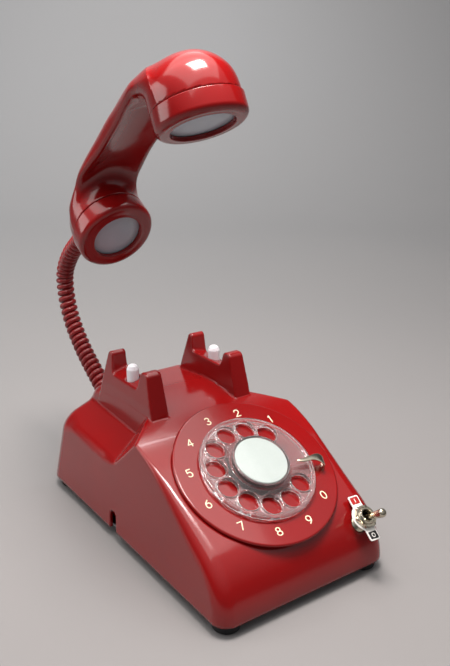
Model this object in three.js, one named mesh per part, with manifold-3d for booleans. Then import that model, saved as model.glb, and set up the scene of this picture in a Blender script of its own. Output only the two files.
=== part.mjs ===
// A rotary desk telephone made into a lamp: the handset floats above the housing on a bent steel tube
// that is hidden inside its curly cord, and a lamp shines from each end of the handset.
// Millimetres, +Z up, the dial faces -Y. Places are given in the housing's own frame, whose origin is on
// the table in the middle of the housing's width, and the whole is centred over its footprint at the end.
import * as THREE from "three";
import { mergeVertices } from "three/addons/utils/BufferGeometryUtils.js";
import Module from "manifold-3d";

// ---------- driving dimensions ----------
const GAP = 0.3; // clearance between neighbouring pieces
const FOOT = { height: 6.8, radius: 9.5, x: 55, front: -111, rear: 97 };
const BODY = {
  bottom: 7, // lower rim above the table
  ceiling: 125, // height to which the drafted block is drawn before it is trimmed
  front: -122.8,
  rear: 111.5,
  halfWidth: 66.8,
  halfWidthAtCeiling: 61.6,
  frontAtCeiling: -120.5,
  corner: 13,
  wall: 2.8,
  rearSlope: 1 / 3.3, // the rear wall leans forward by this much for each millimetre of height
};
const FACE = { tilt: THREE.MathUtils.degToRad(28.73), y: -65.47, z: 65.51, noseRadius: 23.8 };
const DECK = { frontY: -3, frontZ: 95.6, slope: -0.1126 };
const EAR = { inner: 27.4, outer: 41, wall: 2.2, floorOuter: 103.6, floorInner: 107.4, heelY: 77.7 };
const SHOULDER = { inner: 70, outer: 58.5, outerX: 64, rise: 0.04 }; // the ledge climbs towards the rear
const DIAL = {
  y: -66.67,
  z: 67.7,
  plateRadius: 56,
  plateThickness: 2.2,
  opening: 48,
  wheelRadius: 39.1,
  wheelBottom: 1.2,
  wheelTop: 3.7,
  holeRadius: 6.7,
  holeCircle: 29.3,
  firstHole: 45.4, // degrees clockwise from the top
  holeStep: 30,
  holes: 10,
  cardRadius: 17.7,
  cupRadius: 19.2,
  cardTop: 10,
  stopAngle: 107,
  gearRadius: 22,
  pinionRadius: 4.5,
  pulseGearRadius: 5.6,
  governorPinionRadius: 3.2,
};
const PLUNGER = { x: 34.2, y: 32, radius: 4.3, top: 115.8, bottom: 75.7, hole: 4.7 };
const HOOK = { pivotY: 60, pivotZ: 73.5, armTop: 75, thickness: 2 };
const SWITCH = {
  x: 49.5,
  y: -115.4,
  z: 38.6,
  tilt: THREE.MathUtils.degToRad(37),
  roll: THREE.MathUtils.degToRad(5),
  lean: THREE.MathUtils.degToRad(16), // lever leans towards the foot of the indicator plate
  lever: 20.5,
  bushing: 5.5,
  hole: 6.2,
};
const HANDSET = {
  x: -22,
  y: 81.66, // centre of the transmitter cap's seam
  z: 203.87,
  pitch: THREE.MathUtils.degToRad(38.6),
  length: 144.8, // from seam centre to seam centre
  drop: -1.6,
  capRadius: 28.1,
  capHeight: 14,
  transmitterTilt: THREE.MathUtils.degToRad(21.2),
  receiverTilt: THREE.MathUtils.degToRad(11.6),
  transmitterOpening: 17.4,
  receiverOpening: 19.4,
  gripHalfWidth: 20.5,
  boreHeight: 14.7, // of the support tube's bore above the seam
};
const TUBE = { radius: 2.4, bore: 1.5 };
const CORD = { radius: 7.1, bore: 2.75 };
// The support tube's centreline in the plane of the handset, as [y, z], from handset to base plate.
const TUBE_ROUTE = [
  [96.3, 211], [131, 183.4], [151, 167.5], [163, 150], [162.5, 131], [154.3, 112.3],
  [136, 93], [112, 76], [84, 56.5], [67, 41], [61, 24], [61, 13.4],
];
const ROUND = 24; // sides of the larger round pieces
const SMALL = 12; // sides of the small ones

// ---------- materials ----------
const finish = (color, roughness, metalness = 0) =>
  new THREE.MeshStandardMaterial({ color, roughness, metalness });
const RED = finish(0xa3262a, 0.22);
const CLEAR = new THREE.MeshStandardMaterial({
  color: 0xf2eef2, roughness: 0.08, transparent: true, opacity: 0.4,
});
const CARD = finish(0xf4f8f6, 0.6);
const IVORY = finish(0xe9e8ee, 0.35);
const RUBBER = finish(0x17181a, 0.85);
const STEEL = finish(0xb9bcc0, 0.35, 1);
const NICKEL = finish(0xd9d2bf, 0.22, 1);
const BRASS = finish(0xc6a15a, 0.3, 1);
const WHITE_ENAMEL = finish(0xf1f1ee, 0.4);
const FROST = finish(0xb4bec8, 0.5);
const BLACK = finish(0x1c1c1f, 0.5);
const LEAD = finish(0xd8d4cc, 0.6);

// ---------- solid helpers ----------
const wasm = await Module();
wasm.setup();

/** A three.js geometry as a solid that can be joined and cut. */
function solid(geometry) {
  const bare = geometry.clone();
  bare.deleteAttribute("normal");
  bare.deleteAttribute("uv");
  const merged = mergeVertices(bare, 1e-4);
  return new wasm.Manifold(
    new wasm.Mesh({
      numProp: 3,
      vertProperties: merged.attributes.position.array,
      triVerts: new Uint32Array(merged.index.array),
    }),
  );
}

/** The geometry of a solid. */
function geometryOf(made) {
  const mesh = made.getMesh();
  const geometry = new THREE.BufferGeometry();
  geometry.setAttribute("position", new THREE.BufferAttribute(new Float32Array(mesh.vertProperties), 3));
  geometry.setIndex(new THREE.BufferAttribute(new Uint32Array(mesh.triVerts), 1));
  geometry.computeVertexNormals();
  return geometry;
}

const join = (first, ...rest) => geometryOf(rest.reduce((a, b) => a.add(solid(b)), solid(first)));
const cut = (first, ...rest) => geometryOf(rest.reduce((a, b) => a.subtract(solid(b)), solid(first)));
const common = (first, ...rest) => geometryOf(rest.reduce((a, b) => a.intersect(solid(b)), solid(first)));

const shapeOf = (points) => new THREE.Shape(points.map(([a, b]) => new THREE.Vector2(a, b)));
const AXES_YZX = new THREE.Matrix4().makeBasis(
  new THREE.Vector3(0, 1, 0), new THREE.Vector3(0, 0, 1), new THREE.Vector3(1, 0, 0),
);
const AXES_XZ = new THREE.Matrix4().makeRotationX(Math.PI / 2);

/** An outline in the YZ plane, carried along X from x0 to x1. */
function prismX(points, x0, x1) {
  const made = new THREE.ExtrudeGeometry(shapeOf(points), { depth: x1 - x0, bevelEnabled: false });
  return made.applyMatrix4(AXES_YZX).translate(x0, 0, 0);
}

/** An outline in the XZ plane, carried along Y from y0 to y1. */
function prismY(points, y0, y1) {
  const made = new THREE.ExtrudeGeometry(shapeOf(points), { depth: y1 - y0, bevelEnabled: false });
  return made.applyMatrix4(AXES_XZ).translate(0, y1, 0);
}

/** A box given by its lowest and highest corners. */
function block([x0, y0, z0], [x1, y1, z1]) {
  const box = new THREE.BoxGeometry(x1 - x0, y1 - y0, z1 - z0);
  return box.translate((x0 + x1) / 2, (y0 + y1) / 2, (z0 + z1) / 2);
}

/** A round bar along Z between two heights. */
function bar(radius, z0, z1, sides = SMALL, topRadius = radius) {
  return new THREE.CylinderGeometry(topRadius, radius, z1 - z0, sides)
    .rotateX(Math.PI / 2)
    .translate(0, 0, (z0 + z1) / 2);
}

/** A round piece about Z from a profile of [radius, height], listed from the foot outwards and up. */
function turned(profile, sides = ROUND) {
  const points = profile.map(([r, z]) => new THREE.Vector2(r, z));
  return new THREE.LatheGeometry(points, sides).rotateX(Math.PI / 2);
}

/** A ring about Z with a rectangular section. */
function ring(inner, outer, z0, z1, sides = ROUND) {
  return turned([[inner, z0], [outer, z0], [outer, z1], [inner, z1], [inner, z0]], sides);
}

/** A closed skin through rings of equal point counts, each ring listed anticlockwise seen from above. */
function loft(rings) {
  const count = rings[0].length;
  const centre = (points) =>
    points.reduce((sum, p) => sum.add(p), new THREE.Vector3()).divideScalar(count);
  const vertices = [...rings.flat(), centre(rings[0]), centre(rings.at(-1))];
  const [foot, head] = [vertices.length - 2, vertices.length - 1];
  const last = (rings.length - 1) * count;
  const faces = [];
  for (let i = 0; i < count; i++) {
    const next = (i + 1) % count;
    faces.push(foot, next, i, head, last + i, last + next);
    for (let base = 0; base < last; base += count) {
      const above = base + count;
      faces.push(base + i, base + next, above + next, base + i, above + next, above + i);
    }
  }
  const geometry = new THREE.BufferGeometry().setFromPoints(vertices);
  geometry.setIndex(faces);
  return geometry;
}

/** A rounded rectangle at height z, anticlockwise seen from above. */
function roundedRing(halfWidth, y0, y1, radius, z, steps = 4) {
  const corners = [
    [halfWidth, y0, -90], [halfWidth, y1, 0], [-halfWidth, y1, 90], [-halfWidth, y0, 180],
  ];
  return corners.flatMap(([x, y, start]) => {
    const cx = x - Math.sign(x) * radius;
    const cy = y === y0 ? y0 + radius : y1 - radius;
    return Array.from({ length: steps + 1 }, (_, k) => {
      const a = THREE.MathUtils.degToRad(start + (90 * k) / steps);
      return new THREE.Vector3(cx + radius * Math.cos(a), cy + radius * Math.sin(a), z);
    });
  });
}

/** A section carried along a curve: a tube when it has a bore. */
function swept(curve, radius, bore, sides, steps) {
  const section = new THREE.Shape().absarc(0, 0, radius, 0, 2 * Math.PI);
  if (bore) section.holes.push(new THREE.Path().absarc(0, 0, bore, 0, 2 * Math.PI, true));
  return new THREE.ExtrudeGeometry(section, { extrudePath: curve, curveSegments: sides, steps });
}

const assembly = new THREE.Group();
/** Adds one named piece to a group. */
function piece(name, material, geometry, parent = assembly) {
  const mesh = new THREE.Mesh(geometry, material);
  mesh.name = name;
  parent.add(mesh);
  return mesh;
}

// ---------- housing ----------
const rearWallY = (z) => BODY.rear - (z - BODY.bottom) * BODY.rearSlope;

/** The drafted block with rounded corners that the housing is trimmed from, inset on every side. */
function draftedBlock(inset) {
  const foot = BODY.bottom - (inset ? 1 : 0);
  const section = (halfWidth, front, z) =>
    roundedRing(halfWidth - inset, front + inset, rearWallY(z) - inset, BODY.corner - inset, z);
  return loft([
    section(BODY.halfWidth, BODY.front, foot),
    section(BODY.halfWidthAtCeiling, BODY.frontAtCeiling, BODY.ceiling),
  ]);
}

/** The outline below deck and dial face: flat deck, sloping face and a rounded nose. */
function skyline(inset) {
  const cos = Math.cos(FACE.tilt);
  const sin = Math.sin(FACE.tilt);
  const front = BODY.front + inset;
  const radius = FACE.noseRadius - inset;
  const centreY = front + radius;
  // The nose's arc touches the upright front and the sloping face.
  const centreZ = FACE.z + (centreY - FACE.y) * (sin / cos) - (radius + inset) / cos;
  const nose = Array.from({ length: 6 }, (_, k) => {
    const a = Math.PI - (k / 5) * (Math.PI / 2 - FACE.tilt);
    return [centreY + radius * Math.cos(a), centreZ + radius * Math.sin(a)];
  });
  const deck = (y) => DECK.frontZ + DECK.slope * (y - DECK.frontY) - inset;
  const face = (y) => FACE.z + ((y - FACE.y) * sin - inset) / cos;
  return [
    [front, 0], ...nose, [DECK.frontY - 13, face(DECK.frontY - 13)],
    [DECK.frontY, deck(DECK.frontY)], [BODY.rear + 40, deck(BODY.rear + 40)], [BODY.rear + 40, 0],
  ].reverse();
}

/** The space above one shoulder: behind the ridge, outside the ear and above the sloping ledge. */
function shoulderSpace(side, inset) {
  const x0 = EAR.outer - inset;
  const x1 = 80;
  const fall = (SHOULDER.inner - SHOULDER.outer) / (SHOULDER.outerX - EAR.outer);
  const ledge = (x) => SHOULDER.inner - fall * (x - EAR.outer) - inset;
  const ledgeFront = (x) => 16.8 - 0.374 * (x - EAR.outer) - inset;
  const rise = 40;
  const lean = { inner: -0.82, outer: -1.05 }; // run along Y of the steep front for each millimetre up
  const edge = (lift) => [[x0, lean.inner], [x1, lean.outer]].map(([x, run]) =>
    new THREE.Vector3(x * side, ledgeFront(x) + run * lift, ledge(x) + lift));
  const [a, b] = edge(0);
  const [e, f] = edge(rise);
  const back = (p) => new THREE.Vector3(p.x, 130, p.z + SHOULDER.rise * (130 - p.y));
  const rings = [[a, b, back(b), back(a)], [e, f, back(f), back(e)]];
  if (side < 0) rings.forEach((points) => points.reverse());
  return loft(rings);
}

/** One ear's outline from the side: two horns with a valley between them. */
const EAR_OUTLINE = [
  [-3, 80], [-3, 94.3], [2.9, 115.4], [4.6, 117.6], [7, 118.4], [11, 118.1], [12.2, 116.4], [15.6, 105.4],
  [17.4, EAR.floorOuter], [49, EAR.floorOuter], [50.6, 105.4], [52.3, 118.2], [53.4, 119.7], [56.2, 119.7],
  [58, 118], [EAR.heelY, 66], [12, 66],
].reverse();
const EAR_HOLLOW = [
  [1.5, 70], [1.5, 92], [6, 114], [9, 114], [13.6, 97.6], [51.4, 97.6], [54.2, 112], [56.4, 112],
  [EAR.heelY - 4.4, 70],
].reverse();

/** An ear with its valley floor, which falls from the inner wall to the outer one. */
function ear(side) {
  const sides = side > 0 ? [EAR.inner, EAR.outer] : [-EAR.outer, -EAR.inner];
  const floor = [
    [EAR.inner, EAR.floorOuter - 4], [EAR.inner, EAR.floorInner],
    [EAR.outer, EAR.floorOuter], [EAR.outer, EAR.floorOuter - 4],
  ].map(([x, z]) => [x * side, z]);
  if (side > 0) floor.reverse();
  return join(prismX(EAR_OUTLINE, ...sides), prismY(floor, 14.6, 51));
}

/** The hollow inside the housing. */
function hollow() {
  const main = cut(
    common(draftedBlock(BODY.wall), prismX(skyline(BODY.wall), -90, 90)),
    shoulderSpace(1, BODY.wall), shoulderSpace(-1, BODY.wall),
  );
  const ears = [-1, 1].map((side) => {
    const walls = [EAR.inner + EAR.wall, EAR.outer - EAR.wall].map((x) => x * side).sort((a, b) => a - b);
    return prismX(EAR_HOLLOW, ...walls);
  });
  return join(main, ...ears);
}

/** Turns a piece made about Z onto the dial's axis, with height 0 on the number plate. */
function onDial(geometry) {
  return geometry.rotateX(FACE.tilt).translate(0, DIAL.y, DIAL.z);
}

/** Turns a piece made about Z onto the rear wall's outer face at height z, pointing out. */
function onRearWall(geometry, x, z) {
  return geometry.rotateX(-Math.PI / 2 + Math.atan(BODY.rearSlope)).translate(x, rearWallY(z), z);
}

/** Turns a piece made about Z onto the toggle switch's axis, with height 0 on the housing. */
function onSwitch(geometry) {
  return geometry.rotateX(SWITCH.tilt).rotateY(SWITCH.roll).translate(SWITCH.x, SWITCH.y, SWITCH.z);
}

const TUBE_EXIT = { z: 63.6, hole: 6.3 };
const INLET = { x: 34, z: 24, hole: 5.3 };
const NOTCH = { y: 8.7, top: 17.2, radius: 4.3 }; // cord notch in the left wall's lower rim
const BOSS = [[0, BODY.front + 8], [0, rearWallY(15) - 9]];

function housing() {
  const outside = join(
    cut(common(draftedBlock(0), prismX(skyline(0), -90, 90)), shoulderSpace(1, 0), shoulderSpace(-1, 0)),
    ear(1), ear(-1),
  );
  const plungerHole = (side) => bar(PLUNGER.hole, 90, 112).translate(side * PLUNGER.x, PLUNGER.y, 0);
  const notch = join(
    block([-80, NOTCH.y - NOTCH.radius, 0], [-50, NOTCH.y + NOTCH.radius, NOTCH.top]),
    bar(NOTCH.radius, 50, 80).rotateY(-Math.PI / 2).translate(0, NOTCH.y, NOTCH.top),
  );
  const shell = cut(
    outside, hollow(), onDial(bar(DIAL.opening, -12, 8, 32)), plungerHole(1), plungerHole(-1), notch,
    onSwitch(bar(SWITCH.hole, -8, 8)),
    onRearWall(bar(TUBE_EXIT.hole, -8, 8), HANDSET.x, TUBE_EXIT.z),
    onRearWall(bar(INLET.hole, -8, 8), INLET.x, INLET.z),
  );
  const boss = ([x, y]) => cut(bar(6, 10, 24).translate(x, y, 0), bar(1.8, 8, 19).translate(x, y, 0));
  return join(shell, ...BOSS.map(boss));
}
piece("housing", RED, housing());

// ---------- base plate, feet and its screws ----------
const PLATE = { z0: 7.4, z1: 8.9, inset: BODY.wall + 0.6 };
function basePlate() {
  const { inset } = PLATE;
  const outline = (z) =>
    roundedRing(BODY.halfWidth - inset, BODY.front + inset, BODY.rear - inset - 0.8, 9, z);
  const holes = BOSS.map(([x, y]) => bar(2.3, 6, 10).translate(x, y, 0));
  return cut(loft([outline(PLATE.z0), outline(PLATE.z1)]), ...holes);
}
piece("base_plate", STEEL, basePlate());
for (const [end, y] of [["front", FOOT.front], ["rear", FOOT.rear]]) {
  for (const [side, x] of [["left", -FOOT.x], ["right", FOOT.x]]) {
    const profile = [
      [0, 0], [FOOT.radius - 1.5, 0], [FOOT.radius, 1.5], [FOOT.radius, FOOT.height], [0, FOOT.height],
    ];
    piece(`foot_${end}_${side}`, RUBBER, turned(profile, 16).translate(x, y, 0));
  }
}
BOSS.forEach(([x, y], k) => {
  const screw = turned([[0, 5.4], [3.8, 5.4], [3.8, 7.1], [1.5, 7.1], [1.5, 16], [0, 16]], SMALL);
  piece(`housing_screw_${["front", "rear"][k]}`, STEEL, screw.translate(x, y, 0));
});

// ---------- dial ----------
/** The place of a point on the dial, as a distance from its axis and degrees clockwise from the top. */
function clock(radius, degrees) {
  const a = THREE.MathUtils.degToRad(degrees);
  return [radius * Math.sin(a), radius * Math.cos(a)];
}

function fingerWheel() {
  const disc = turned([
    [0, DIAL.wheelBottom], [38.3, DIAL.wheelBottom], [DIAL.wheelRadius, 2], [DIAL.wheelRadius, 3],
    [38.3, DIAL.wheelTop], [22.5, DIAL.wheelTop], [20.6, 6], [0, 6],
  ], 40);
  const holes = Array.from({ length: DIAL.holes }, (_, k) => {
    const at = clock(DIAL.holeCircle, DIAL.firstHole - DIAL.holeStep * k);
    return bar(DIAL.holeRadius, 0, 9, 16).translate(...at, 0);
  });
  return cut(disc, ...holes);
}
piece("number_plate", RED, onDial(ring(10, DIAL.plateRadius, -DIAL.plateThickness, 0, 48)));
piece("dial_frame", STEEL, onDial(join(
  ring(4, 46, -5, -2.6, 32), ring(33, 35, -24, -5, 32), ring(3.4, 35, -26, -24, 32),
)));
piece("finger_wheel", CLEAR, onDial(fingerWheel()));
const cupWall = DIAL.cupRadius - 0.9;
piece("card_retainer", CLEAR, onDial(turned([
  [0, 6.3], [DIAL.cupRadius, 6.3], [DIAL.cupRadius, 9.6], [cupWall, 10.1], [cupWall, 8.4], [0, 8.4],
], 32)));
piece("center_card", CARD, onDial(bar(DIAL.cardRadius, 8.7, DIAL.cardTop, 32)));
piece("dial_shaft", STEEL, onDial(bar(3, -29, 0.9)));
piece("main_gear", BRASS, onDial(ring(3.3, DIAL.gearRadius, -10, -8, 32)));
piece("return_spring", STEEL, onDial(ring(7, 15, -14, -10.5, ROUND)));

const PULSE_AT = clock(DIAL.gearRadius + DIAL.pinionRadius + 0.4, 200);
const GOVERNOR_AT = clock(25.5, 220);
const spindle = ([x, y], geometry) => onDial(geometry.translate(x, y, 0));
piece("pulse_cam", BRASS, spindle(PULSE_AT, join(
  bar(1.2, -22.5, -7), bar(DIAL.pinionRadius, -10, -8, 16),
  bar(DIAL.pulseGearRadius, -13.5, -12, 16), bar(2.6, -20, -18),
)));
piece("governor", BRASS, spindle(GOVERNOR_AT, join(
  bar(1.1, -23, -11.5), bar(DIAL.governorPinionRadius, -13.5, -12), bar(5.4, -21.5, -16, 16),
)));
piece("pulse_contacts", BRASS, onDial(block([-4, 12, -22], [8, 27, -16])));

function fingerStop() {
  const [rootX, rootY] = clock(47, DIAL.stopAngle);
  const [tipX, tipY] = clock(25.5, DIAL.stopAngle);
  const along = Math.atan2(tipY - rootY, tipX - rootX);
  const length = Math.hypot(tipX - rootX, tipY - rootY);
  const outline = [
    [-1.5, GAP], [-1.5, 7.2], [0.2, 8.8], [length, 8.8], [length, 7.6], [2.4, 7.6], [0.6, 6.2], [0.6, GAP],
  ];
  const hook = prismY(outline.reverse(), -2.2, 2.2);
  return onDial(hook.rotateZ(along).translate(rootX, rootY, 0));
}
piece("finger_stop", NICKEL, fingerStop());

// ---------- hook switch ----------
for (const [name, side] of [["plunger_left", -1], ["plunger_right", 1]]) {
  const { radius: r, top, bottom } = PLUNGER;
  const shape = turned([
    [0, bottom], [1.8, bottom + 0.5], [2.6, bottom + 2.4], [r, bottom + 4],
    [r, top - 2.6], [r * 0.78, top - 1], [r * 0.4, top - 0.2], [0, top],
  ], 16);
  piece(name, IVORY, shape.translate(side * PLUNGER.x, PLUNGER.y, 0));
}
function hookLever() {
  const { armTop: top, thickness, pivotY } = HOOK;
  const crossbar = block([-37, 28, top - thickness], [37, 36, top]);
  const arm = (side) => block([side * 22 - 4, 35, top - thickness], [side * 22 + 4, pivotY - 1, top]);
  const barrel = bar(3.6, -26, 26).rotateY(Math.PI / 2).translate(0, HOOK.pivotY, HOOK.pivotZ);
  const bore = bar(1.9, -30, 30).rotateY(Math.PI / 2).translate(0, HOOK.pivotY, HOOK.pivotZ);
  return cut(join(crossbar, arm(1), arm(-1), barrel), bore);
}
piece("hook_lever", STEEL, hookLever());
piece("hook_pin", STEEL, bar(1.6, -30.5, 30.5).rotateY(Math.PI / 2).translate(0, HOOK.pivotY, HOOK.pivotZ));
function hookBracket() {
  const { pivotY, pivotZ } = HOOK;
  const cheek = (side) => {
    const x = [27, 28.8].map((v) => v * side).sort((a, b) => a - b);
    const outline = [
      [48, 45], [62, 45], [pivotY + 5, 68], [pivotY + 4, 77.5], [pivotY - 4, 77.5], [48, 62],
    ];
    return prismX(outline, ...x);
  };
  const pin = bar(1.9, -40, 40).rotateY(Math.PI / 2).translate(0, pivotY, pivotZ);
  const web = join(block([-28, 48, 45], [28, 50, 62]), block([-2, 48, 9.3], [28, 50, 46]));
  return cut(join(cheek(1), cheek(-1), web, block([-2, 49, 9.3], [28, 62, 11.3])), pin);
}
piece("hook_bracket", STEEL, hookBracket());
const hookSpring = ring(4, 5.2, -8, 8, SMALL).rotateY(Math.PI / 2);
piece("hook_spring", STEEL, hookSpring.translate(0, HOOK.pivotY, HOOK.pivotZ));
piece("hook_contacts", BRASS, block([4, 36, 9.3], [16, 46.5, 62]));

// ---------- toggle switch ----------
function indicatorPlate() {
  const tab = block([-4.2, -15.7, GAP], [4.2, 15.7, 1.1]);
  return onSwitch(cut(join(tab, bar(8.8, GAP, 1.1, ROUND)), bar(6.3, -1, 3)));
}
piece("indicator_plate", WHITE_ENAMEL, indicatorPlate());
piece("switch_nut", NICKEL, onSwitch(cut(bar(8.2, 1.4, 3.9, 6), bar(SWITCH.hole - 0.1, 0, 5, 16))));
piece("switch_bushing", NICKEL, onSwitch(ring(3.6, 5.8, -9.6, SWITCH.bushing, 16)));
piece("switch_body", BLACK, onSwitch(block([-6.5, -11, -20], [6.5, 11, -10])));
function switchLever() {
  const top = SWITCH.lever;
  const profile = [
    [0, 0], [1.5, 0.4], [1.8, 3], [2.4, top - 3.6], [2.9, top - 1.6], [2, top - 0.2], [0, top],
  ];
  return onSwitch(turned(profile, SMALL).rotateX(SWITCH.lean));
}
piece("switch_lever", NICKEL, switchLever());

// ---------- handset ----------
const handset = new THREE.Group();
handset.position.set(HANDSET.x, HANDSET.y, HANDSET.z);
// In the handset's own frame X is across, Y runs from receiver to transmitter, Z to the back of the grip.
handset.rotation.x = -HANDSET.pitch;
assembly.add(handset);

const ENDS = [["transmitter", HANDSET.transmitterOpening], ["receiver", HANDSET.receiverOpening]];

/** Turns a piece made about Z onto the support tube's bore, with height 0 over the transmitter's seam. */
function alongTube(geometry) {
  return geometry.rotateX(-Math.PI / 2).translate(0, 0, HANDSET.boreHeight);
}

/** Turns a piece made about Z, seam at 0 and opening towards +Z, onto one end of the handset. */
function onEnd(geometry, end) {
  const tilt = end === "transmitter" ? -HANDSET.transmitterTilt : HANDSET.receiverTilt;
  const turnedOver = geometry.rotateX(Math.PI + tilt);
  return end === "transmitter" ? turnedOver : turnedOver.translate(0, -HANDSET.length, HANDSET.drop);
}

// The bowls and their pockets as [radius, height], listed from the crown down to the seam.
const BOWL = [
  [0, -33], [15, -30], [22.5, -25], [26.5, -19], [HANDSET.capRadius, -12], [HANDSET.capRadius, 0], [0, 0],
];
const POCKET = [[0, -28.5], [14, -26], [21.5, -20], [24.6, -13], [24.6, 2], [0, 2]];
const LEAD_ROUTE = [[-6, 8], [-24, 25], [-44, 33.5], [-98, 33.5], [-120, 27], [-138, 10]];
const leadCurve = new THREE.CatmullRomCurve3(LEAD_ROUTE.map(([y, z]) => new THREE.Vector3(0, y, z)));

function handle() {
  const side = [
    [-6, 30], [-6, 14], [-22, 14], [-28, 19], [-38, 24.2], [-108, 24.2], [-118, 17], [-122, 6],
    [-140, 6], [-150, 30], [-128, 37], [-106, 42], [-75, 44], [-45, 42], [-18, 37],
  ];
  const grip = prismX(side, -HANDSET.gripHalfWidth, HANDSET.gripHalfWidth);
  const [bowls, pockets] = [BOWL, POCKET].map((profile) => ENDS.map(([end]) => onEnd(turned(profile), end)));
  const tubeHole = alongTube(bar(TUBE.radius + GAP, -10, 40));
  return cut(join(grip, ...bowls), ...pockets, swept(leadCurve, 3.2, 0, 4, 20), tubeHole);
}
piece("handset_handle", RED, handle(), handset);

for (const [end, opening] of ENDS) {
  const [r, h] = [HANDSET.capRadius, HANDSET.capHeight];
  const cap = turned([
    [r - 2.6, GAP], [r, GAP], [r, h - 4.6], [r - 1.4, h - 1.5], [r - 4.4, h], [opening + 1.2, h],
    [opening, h - 1], [opening, h - 2.8], [r - 2.6, h - 2.8], [r - 2.6, GAP],
  ], 32);
  piece(`${end}_cap`, RED, onEnd(cap, end), handset);
  const lens = turned([
    [0, h - 5], [opening + 3, h - 5], [opening + 3, h - 3.2], [opening - 1, h - 3.2],
    [opening * 0.5, h - 2.2], [0, h - 1.8],
  ]);
  piece(`${end}_lens`, FROST, onEnd(lens, end), handset);
  const lamp = turned([[0, 1], [19, 1], [19, 5], [12, 6.6], [0, 6.6]]);
  piece(`${end}_lamp`, STEEL, onEnd(lamp, end), handset);
}
piece("receiver_lead", LEAD, swept(leadCurve, 1.2, 0, 2, 20), handset);
piece("tube_nut", STEEL, alongTube(ring(TUBE.radius + 2 * GAP, 5.6, 8, 13, 6)), handset);
piece("cord_collar", RED, alongTube(ring(TUBE.radius + GAP, 6.6, 32.4, 36.4, SMALL)), handset);

// ---------- support tube and curly cord ----------
const tubeCurve = new THREE.CatmullRomCurve3(
  TUBE_ROUTE.map(([y, z]) => new THREE.Vector3(HANDSET.x, y, z)), false, "centripetal",
);
/** The stretch of the tube's curve between two fractions of its length. */
function stretch(from, to, count) {
  const at = (k) => tubeCurve.getPointAt(from + ((to - from) * k) / count);
  return new THREE.CatmullRomCurve3(Array.from({ length: count + 1 }, (_, k) => at(k)));
}
piece("support_tube", STEEL, swept(tubeCurve, TUBE.radius, TUBE.bore, 4, 60));
const CORD_STARTS = 30 / tubeCurve.getLength(); // fraction of the tube's length that is inside the handset
const CORD_ENDS = 0.75; // fraction of its length at the rear wall
piece("curly_cord", RED, swept(stretch(CORD_STARTS, CORD_ENDS, 24), CORD.radius, CORD.bore, 5, 40));
piece("tube_grommet", RUBBER, onRearWall(ring(3.7, 6, -4, GAP, SMALL), HANDSET.x, TUBE_EXIT.z));
const socket = join(bar(15, 9.2, 12, ROUND), bar(6, 12, 21, 16));
const flange = cut(socket, bar(TUBE.radius + GAP, 13, 30));
piece("tube_flange", STEEL, flange.translate(HANDSET.x, TUBE_ROUTE.at(-1)[0], 0));

// ---------- lamp supply ----------
piece("lamp_driver", BLACK, block([-34, -34, 9.2], [14, 22, 27]));
piece("terminal_block", WHITE_ENAMEL, block([24, 66, 9.2], [46, 82, 18]));
const inlet = join(ring(3.2, 7.6, GAP, 3, 16), ring(3.2, 5, -8, GAP, 16));
piece("mains_inlet", RUBBER, onRearWall(inlet, INLET.x, INLET.z));

// ---------- the whole, centred over its own footprint ----------
const root = new THREE.Group();
root.add(assembly);
root.updateMatrixWorld(true);
const extent = new THREE.Box3().setFromObject(root, true);
const middle = extent.getCenter(new THREE.Vector3());
assembly.position.set(-middle.x, -middle.y, 0);
export default root;
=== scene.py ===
"""The looks of a rotary desk telephone that was made into a lamp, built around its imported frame.

Sizes are millimetres in the housing's own frame: the origin is on the table, +Z is up and the dial
faces -Y. Every mesh is written in metres in the frame's axes, with its object at the origin.
"""

import logging
import math
from collections.abc import Callable, Sequence
from dataclasses import dataclass
from enum import Enum
from typing import NamedTuple

import bpy
import numpy as np
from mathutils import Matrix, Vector


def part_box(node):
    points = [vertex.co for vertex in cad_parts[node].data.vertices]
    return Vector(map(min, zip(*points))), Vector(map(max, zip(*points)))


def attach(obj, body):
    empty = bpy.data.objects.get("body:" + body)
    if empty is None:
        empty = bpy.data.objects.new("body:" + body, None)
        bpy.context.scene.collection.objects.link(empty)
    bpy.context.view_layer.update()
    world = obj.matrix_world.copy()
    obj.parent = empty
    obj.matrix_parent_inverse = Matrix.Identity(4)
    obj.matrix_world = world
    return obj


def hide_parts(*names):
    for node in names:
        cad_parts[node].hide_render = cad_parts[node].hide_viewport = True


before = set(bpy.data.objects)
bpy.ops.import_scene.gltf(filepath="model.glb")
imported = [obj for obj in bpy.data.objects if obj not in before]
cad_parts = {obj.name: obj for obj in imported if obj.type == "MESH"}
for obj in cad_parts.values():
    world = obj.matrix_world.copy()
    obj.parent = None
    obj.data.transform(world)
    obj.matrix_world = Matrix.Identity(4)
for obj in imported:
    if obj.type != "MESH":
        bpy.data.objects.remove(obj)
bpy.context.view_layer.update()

Array = np.ndarray
Field = Callable[[Array, Array, Array], Array]
LOG = logging.getLogger("telephone_lamp")
MM = 0.001
BODY_FRONT = -122.8  # the housing's front wall at its foot, in the housing's own frame
ORIGIN_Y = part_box("housing")[0].y / MM - BODY_FRONT  # where the housing's origin lies in the frame
SMOOTH_ANGLE = math.radians(35)  # edges turned further than this are shaded as edges
FACE_TILT = math.radians(28.73)  # of the dial's face from level
DIAL_Y, DIAL_Z = -66.67, 67.7  # where the dial's axis meets the top of the number plate


# ---------- places ----------
def shift(x: float, y: float, z: float) -> Array:
    """The matrix that moves by (x, y, z) millimetres."""
    made = np.eye(4)
    made[:3, 3] = x, y, z
    return made


def turn(axis: str, angle: float) -> Array:
    """The matrix that turns by an angle in radians about one axis, by the right-hand rule."""
    made = np.eye(4)
    a, b = {"x": (1, 2), "y": (2, 0), "z": (0, 1)}[axis]
    made[a, a] = made[b, b] = math.cos(angle)
    made[a, b], made[b, a] = -math.sin(angle), math.sin(angle)
    return made


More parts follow.
